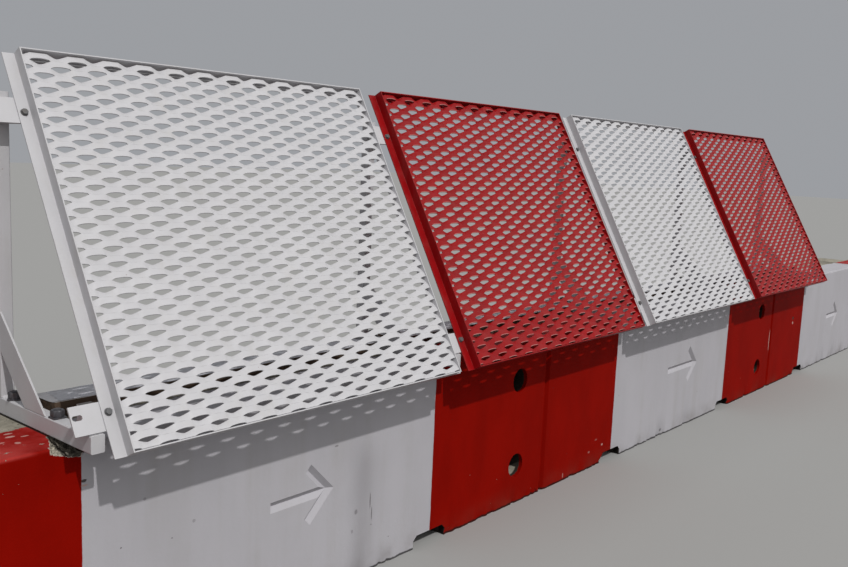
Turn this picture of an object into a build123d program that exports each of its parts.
"""Jet blast fence: a row of lapped concrete barrier units carrying leaning expanded-metal panels.

Axes: X runs along the row, -Y is the front that faces the blast, Z is up.
The origin is on the ground, under the middle of the middle barrier unit. Sizes are in millimetres.
"""

import os
from math import cos, radians, sin, sqrt

from build123d import *

os.makedirs("parts", exist_ok=True)

# Barrier units: each is two bays long, painted red, white, red in front
unit_names = ["left", "middle", "right"]
bay = 1500
unit_width = 450
unit_height = 750
arris = 15

# Half-lap joint between units, with two bolts in deep round recesses
joint_gap = 10
lap_length = 450
front_joint_shift = 75
lap_hole_low = 180
lap_hole_spacing = 395
lap_hole_radius = 18
recess_radius = 55
recess_depth = 85
recess_sides = 16

# Fork slots through the foot of each unit
slot_width = 200
slot_height = 52
slot_chamfer = 20

# Direction arrow, a V-shaped groove in each front face: tail and tip from the unit's middle
arrow_tails = {"left": -88, "middle": -113, "right": -112}
arrow_tips = {"left": 199, "middle": 286, "right": 193}
arrow_height = 378
arrow_arm_reach = 95
arrow_stroke = 38
arrow_depth = 15

# Chip broken out of the left unit's front arris, under the first support
chip_start = -858
chip_length = 122
chip_back = 38
chip_drop = 34

# Support frames, one at each change of colour
support_count = 5
support_shift = -15
tube_width = 40
tube_height = 50
tube_wall = 3
tube_corner = 3
tube_nose = 7
tube_tail = 19
post_depth = 40
post_rise = 19
post_clearance = 10
brace_width = 82
brace_thickness = 6
brace_reach = 254

# Panel plane and panel frame: stiles with flanges turned out, rails with flanges turned in
panel_tilt = 29
panel_overhang = 182
panel_foot_rise = 6
panel_slope = 1200
panel_gap = 50
angle_leg = 40
angle_wall = 4
rail_flange = 25
rail_wall = 4

# Slotted plates that carry the panels, and the stubs behind them
plate_width = 120
plate_slope = 80
plate_wall = 6
lower_plate_start = 78
upper_plate_start = 976
plate_slot_length = 28
plate_slot_width = 14
slot_end_share = 0.29
plate_hole_rise = 8
bolt_edge = 17
bolt_hole_radius = 7
lower_stub_length = 62

# Expanded metal, drawn two meshes to one
mesh_long_way = 115
mesh_short_way = 47.4
mesh_opening_length = 66
mesh_opening_height = 18
opening_sag = 0.45
mesh_wall = 3
mesh_setback = 10
mesh_merge = 2

# Sides of the small round fasteners
round_sides = 8

# Hold-down nuts on the base tubes
anchor_front_inset = 95
anchor_post_gap = 40
anchor_washer_side = 40
anchor_washer_wall = 4
anchor_nut_radius = 21
anchor_nut_height = 19
anchor_stud_radius = 12
anchor_stud_rise = 3

# Timber boards on the barrier tops, one in each bay
board_width = 126
board_thickness = 50
board_post_gap = 13
board_end_gap = 40

# Bolts through the laps
lap_bolt_radius = 12
lap_washer_radius = 30
lap_washer_wall = 6
lap_nut_radius = 21
lap_nut_height = 20
lap_thread_rise = 12

# Places along the row worked out from the sizes above
unit_length = 2 * bay
half_width = unit_width / 2
half_gap = joint_gap / 2
unit_centers = [(i - (len(unit_names) - 1) / 2) * unit_length for i in range(len(unit_names))]
support_xs = [unit_centers[0] - bay / 2 + support_shift + i * bay for i in range(support_count)]
panel_xs = [x + bay / 2 for x in support_xs[:-1]]
front_joint = unit_length / 2 + front_joint_shift
lap_hole_x = front_joint - lap_length / 2
lap_hole_heights = [lap_hole_low, lap_hole_low + lap_hole_spacing]
panel_half = (bay - panel_gap) / 2
leg_inner = panel_half - angle_leg
leg_outer = leg_inner + angle_wall
bolt_x = panel_half - bolt_edge
plate_slot_x = bay / 2 - bolt_x

# Places up the slope of the panels
tilt = radians(panel_tilt)
panel_foot_y = -half_width - panel_overhang
panel_foot_z = unit_height + panel_foot_rise
lower_hole_line = lower_plate_start + plate_slope / 2 + plate_hole_rise
upper_hole_line = upper_plate_start + plate_slope / 2 - plate_hole_rise


def panel_point(slope, depth):
    """Place in the YZ plane of a point up the slope of the panels and behind their front."""
    y = panel_foot_y + slope * sin(tilt) + depth * cos(tilt)
    z = panel_foot_z + slope * cos(tilt) - depth * sin(tilt)
    return y, z


def face_plane(x, depth):
    """Plane parallel to the panels at a depth behind their front: Y up the slope, Z to the front."""
    return Plane(origin=(x, *panel_point(0, depth)), x_dir=(1, 0, 0), z_dir=(0, -cos(tilt), sin(tilt)))


def section_plane(x, slope):
    """Plane across the slope: X along the row, Y from the front of the panels to their rear."""
    return Plane(origin=(x, *panel_point(slope, 0)), x_dir=(1, 0, 0), z_dir=(0, sin(tilt), cos(tilt)))


# Places across the supports, which follow from where the plates hold the panels
tube_top = unit_height + tube_height
plate_rear = angle_leg + plate_wall
stub_foot_slope = (tube_top - panel_foot_z + plate_rear * sin(tilt)) / cos(tilt)
low_front = panel_point(stub_foot_slope, plate_rear)
low_top = panel_point(lower_plate_start + plate_slope, plate_rear)
high_bottom = panel_point(upper_plate_start, plate_rear)
high_top = panel_point(upper_plate_start + plate_slope, plate_rear)
stub_back = low_front[0] + lower_stub_length
post_front = high_top[0] + post_clearance
post_top = high_top[1] + post_rise
tube_front = low_front[0] - tube_nose
tube_back = post_front + post_depth + tube_tail
brace_toe = post_front - brace_reach
brace_heel = brace_toe + brace_width * sqrt(2)
anchor_ys = [-half_width + anchor_front_inset, post_front - anchor_post_gap]
board_y = post_front - board_post_gap - board_width / 2


def save(part, name):
    """Label a finished piece and write its STEP file."""
    part.label = name
    export_step(part, f"parts/{name}.step")


def groove(start, end):
    """A straight V-shaped groove in the front face between two points given as X and Z."""
    run = Vector(end[0] - start[0], 0, end[1] - start[1])
    with BuildPart() as cutter:
        with BuildSketch(Plane(origin=(start[0], -half_width, start[1]), x_dir=(0, 1, 0), z_dir=run)):
            with BuildLine():
                Polyline((0, -arrow_stroke / 2), (arrow_depth, 0), (0, arrow_stroke / 2), close=True)
            make_face()
        extrude(amount=run.length)
    return cutter.part


def arrow_grooves(tail, tip):
    """An arrow pointing along the row: a shaft and two arms at 45 degrees that meet in a square point."""
    meeting = tip - arrow_stroke / sqrt(2)
    overrun = arrow_stroke / 2 / sqrt(2)
    grooves = [groove((tail, arrow_height), (meeting, arrow_height))]
    for side in (-1, 1):
        arm_end = (meeting - arrow_arm_reach, arrow_height + side * arrow_arm_reach)
        grooves.append(groove(arm_end, (meeting + overrun, arrow_height - side * overrun)))
    return grooves


def chip(start):
    """A broken hollow in the front arris, deepest before its middle."""
    with BuildPart() as cutter:
        for share, place in ((0.75, 0), (1, 0.35), (0.5, 1)):
            with BuildSketch(Plane.YZ.offset(start + place * chip_length)):
                with BuildLine():
                    Polyline(
                        (-half_width - arris, unit_height + arris),
                        (-half_width - arris, unit_height - share * chip_drop - arris),
                        (-half_width + share * chip_back, unit_height + arris),
                        close=True,
                    )
                make_face()
        loft(ruled=True)
    return cutter.part


def barrier_unit(x, cutters):
    """One barrier unit with its half-lap ends, fork slots, bolt holes and what is sunk into its front."""
    front_start = x - unit_length + front_joint + half_gap
    front_end = x + front_joint - half_gap
    rear_start = front_start - lap_length
    rear_end = front_end - lap_length
    holes_x = [x + lap_hole_x, x + lap_hole_x - unit_length]
    with BuildPart() as unit:
        with BuildSketch():
            with BuildLine():
                Polyline(
                    (front_start, -half_width),
                    (front_end, -half_width),
                    (front_end, 0),
                    (rear_end, 0),
                    (rear_end, half_width),
                    (rear_start, half_width),
                    (rear_start, 0),
                    (front_start, 0),
                    close=True,
                )
            make_face()
        extrude(amount=unit_height)
        corners = unit.edges().filter_by(Axis.Z).filter_by(lambda e: abs(e.center().Y) > half_width / 2)
        chamfer(corners, length=arris)
        top_edges = unit.faces().sort_by(Axis.Z)[-1].edges().filter_by(Axis.X)
        chamfer(top_edges.filter_by(lambda e: abs(e.center().Y) > half_width / 2), length=arris)
        with BuildSketch(Plane.XZ) as slots:
            with Locations((x - bay / 2, 0), (x + bay / 2, 0)):
                Rectangle(slot_width, slot_height, align=(Align.CENTER, Align.MIN))
            chamfer(slots.vertices().group_by(Axis.Y)[-1], length=slot_chamfer)
        extrude(amount=half_width, both=True, mode=Mode.SUBTRACT)
        with BuildSketch(Plane.XZ):
            with Locations(*[(hole_x, z) for hole_x in holes_x for z in lap_hole_heights]):
                Circle(lap_hole_radius)
        extrude(amount=half_width, both=True, mode=Mode.SUBTRACT)
        for hole_x, side in zip(holes_x, (1, -1)):
            with BuildSketch(Plane.XZ.offset(side * half_width)):
                with Locations(*[(hole_x, z) for z in lap_hole_heights]):
                    RegularPolygon(recess_radius, recess_sides)
            extrude(amount=-side * recess_depth, mode=Mode.SUBTRACT)
        for cutter in cutters:
            add(cutter, mode=Mode.SUBTRACT)
    return unit.part


for x, name in zip(unit_centers, unit_names):
    sunk = arrow_grooves(x + arrow_tails[name], x + arrow_tips[name])
    if x == unit_centers[0]:
        sunk.append(chip(x + chip_start))
    save(barrier_unit(x, sunk), f"barrier_{name}")

# Support frames: base tube, post, brace and slotted plates
with BuildSketch() as tube_outline:
    Rectangle(tube_width, tube_height)
    chamfer(tube_outline.vertices(), length=tube_corner)

with BuildSketch() as post_outline:
    Rectangle(tube_width, post_depth)
    chamfer(post_outline.vertices(), length=tube_corner)

with BuildSketch() as plate_slot:
    Rectangle(plate_slot_length, plate_slot_width)
    chamfer(plate_slot.vertices(), length=plate_slot_width * slot_end_share)

for i, x in enumerate(support_xs, start=1):
    tube_end = Plane(origin=(x, tube_back, unit_height + tube_height / 2), x_dir=(1, 0, 0), z_dir=(0, -1, 0))
    with BuildPart() as base_tube:
        with BuildSketch(tube_end):
            add(tube_outline.sketch)
        extrude(amount=tube_back - tube_front)
        with BuildSketch(tube_end):
            Rectangle(tube_width - 2 * tube_wall, tube_height - 2 * tube_wall)
        extrude(amount=tube_back - tube_front - tube_wall, mode=Mode.SUBTRACT)
    save(base_tube.part, f"base_tube_{i}")

    post_foot = Plane(origin=(x, post_front + post_depth / 2, tube_top))
    with BuildPart() as post:
        with BuildSketch(post_foot):
            add(post_outline.sketch)
        extrude(amount=post_top - tube_top)
        with BuildSketch(post_foot):
            Rectangle(tube_width - 2 * tube_wall, post_depth - 2 * tube_wall)
        extrude(amount=post_top - tube_top - tube_wall, mode=Mode.SUBTRACT)
    save(post.part, f"post_{i}")

    with BuildPart() as brace:
        with BuildSketch(Plane.YZ.offset(x - tube_width / 2)):
            with BuildLine():
                Polyline(
                    (brace_toe, tube_top),
                    (brace_heel, tube_top),
                    (post_front, tube_top + post_front - brace_heel),
                    (post_front, tube_top + post_front - brace_toe),
                    close=True,
                )
            make_face()
        extrude(amount=brace_thickness)
    save(brace.part, f"brace_{i}")

    with BuildPart() as plates:
        with BuildSketch(face_plane(x, angle_leg)):
            for start, line in ((lower_plate_start, lower_hole_line), (upper_plate_start, upper_hole_line)):
                with Locations((0, start + plate_slope / 2)):
                    Rectangle(plate_width, plate_slope)
                with Locations((-plate_slot_x, line), (plate_slot_x, line)):
                    add(plate_slot.sketch, mode=Mode.SUBTRACT)
        extrude(amount=-plate_wall)
        with BuildSketch(Plane.YZ.offset(x)):
            with BuildLine():
                Polyline(low_front, (stub_back, tube_top), (stub_back, low_top[1]), low_top, close=True)
            make_face()
            with BuildLine():
                Polyline(
                    high_bottom,
                    (post_front, high_bottom[1]),
                    (post_front, high_top[1]),
                    high_top,
                    close=True,
                )
            make_face()
        extrude(amount=tube_width / 2, both=True)
    save(plates.part, f"mounting_plates_{i}")

# Panels: two angle stiles, and a mesh sheet between a top and a bottom angle rail
for i, x in enumerate(panel_xs, start=1):
    for side, side_name in ((-1, "left"), (1, "right")):
        with BuildPart() as stile:
            with BuildSketch(section_plane(x, 0)):
                with BuildLine():
                    Polyline(
                        (side * leg_inner, 0),
                        (side * leg_outer, 0),
                        (side * leg_outer, angle_leg - angle_wall),
                        (side * panel_half, angle_leg - angle_wall),
                        (side * panel_half, angle_leg),
                        (side * leg_inner, angle_leg),
                        close=True,
                    )
                make_face()
            extrude(amount=panel_slope)
            with BuildSketch(face_plane(x, angle_leg)):
                with Locations((side * bolt_x, lower_hole_line), (side * bolt_x, upper_hole_line)):
                    RegularPolygon(bolt_hole_radius, round_sides)
            extrude(amount=angle_wall, mode=Mode.SUBTRACT)
        save(stile.part, f"{side_name}_stile_{i}")

    for edge, inward, rail_name in ((0, 1, "bottom"), (panel_slope, -1, "top")):
        with BuildPart() as rail:
            with BuildSketch(Plane.YZ.offset(x - leg_inner)):
                with BuildLine():
                    Polyline(
                        panel_point(edge, 0),
                        panel_point(edge, angle_leg),
                        panel_point(edge + inward * rail_flange, angle_leg),
                        panel_point(edge + inward * rail_flange, angle_leg - rail_wall),
                        panel_point(edge + inward * rail_wall, angle_leg - rail_wall),
                        panel_point(edge + inward * rail_wall, 0),
                        close=True,
                    )
                make_face()
            extrude(amount=2 * leg_inner)
        save(rail.part, f"{rail_name}_rail_{i}")

# Expanded metal sheet: rows of kite-shaped openings, every second row set over by half a mesh
long_way = mesh_long_way * mesh_merge
row_rise = mesh_short_way * mesh_merge / 2
opening_length = mesh_opening_length * mesh_merge
opening_height = mesh_opening_height * mesh_merge
sheet_height = panel_slope - 2 * rail_wall
row_count = int(sheet_height / row_rise)
per_row = int(2 * leg_inner / long_way)
first_row = rail_wall + (sheet_height - (row_count - 1) * row_rise) / 2

with BuildSketch() as sheet:
    with Locations((0, rail_wall)):
        Rectangle(2 * leg_inner, sheet_height, align=(Align.CENTER, Align.MIN))
    opening_places = []
    for row in range(row_count):
        count = per_row - row % 2
        for k in range(count):
            opening_places.append(((k - (count - 1) / 2) * long_way, first_row + row * row_rise))
    with Locations(*opening_places):
        Polygon(
            (-opening_length / 2, 0),
            (0, -opening_height * opening_sag),
            (opening_length / 2, 0),
            (0, opening_height * (1 - opening_sag)),
            align=None,
            mode=Mode.SUBTRACT,
        )

for i, x in enumerate(panel_xs, start=1):
    with BuildPart() as mesh:
        with BuildSketch(face_plane(x, mesh_setback)):
            add(sheet.sketch)
        extrude(amount=-mesh_wall)
    save(mesh.part, f"mesh_{i}")

# Timber boards between the base tubes
with BuildPart() as boards:
    with BuildSketch(Plane.XY.offset(unit_height)):
        with Locations(*[(x, board_y) for x in panel_xs]):
            Rectangle(bay - tube_width - 2 * board_end_gap, board_width)
    extrude(amount=board_thickness)
save(boards.part, "boards")

# Hold-down nuts: a square washer, a hexagon nut and the end of a stud
with BuildPart() as anchor_nuts:
    anchor_places = [(x, y) for x in support_xs for y in anchor_ys]
    with BuildSketch(Plane.XY.offset(tube_top)):
        with Locations(*anchor_places):
            Rectangle(anchor_washer_side, anchor_washer_side)
    extrude(amount=anchor_washer_wall)
    with BuildSketch(Plane.XY.offset(tube_top + anchor_washer_wall)):
        with Locations(*anchor_places):
            RegularPolygon(anchor_nut_radius, 6)
    extrude(amount=anchor_nut_height)
    with BuildSketch(Plane.XY.offset(tube_top + anchor_washer_wall + anchor_nut_height)):
        with Locations(*anchor_places):
            RegularPolygon(anchor_stud_radius, round_sides)
    extrude(amount=anchor_stud_rise)
save(anchor_nuts.part, "anchor_nuts")

# Bolts through the laps: a shank, with a washer and a nut in the recess at each end
bolt_places = [(x + lap_hole_x, z) for x in unit_centers[:-1] for z in lap_hole_heights]
washer_seat = half_width - recess_depth
nut_seat = washer_seat + lap_washer_wall
nut_end = nut_seat + lap_nut_height

with BuildPart() as joint_bolts:
    with BuildSketch(Plane.XZ):
        with Locations(*bolt_places):
            RegularPolygon(lap_bolt_radius, round_sides)
    extrude(amount=nut_end + lap_thread_rise, both=True)
    for side in (-1, 1):
        with BuildSketch(Plane.XZ.offset(side * washer_seat)):
            with Locations(*bolt_places):
                RegularPolygon(lap_washer_radius, round_sides)
        extrude(amount=side * lap_washer_wall)
        with BuildSketch(Plane.XZ.offset(side * nut_seat)):
            with Locations(*bolt_places):
                RegularPolygon(lap_nut_radius, 6)
        extrude(amount=side * lap_nut_height)
save(joint_bolts.part, "joint_bolts")
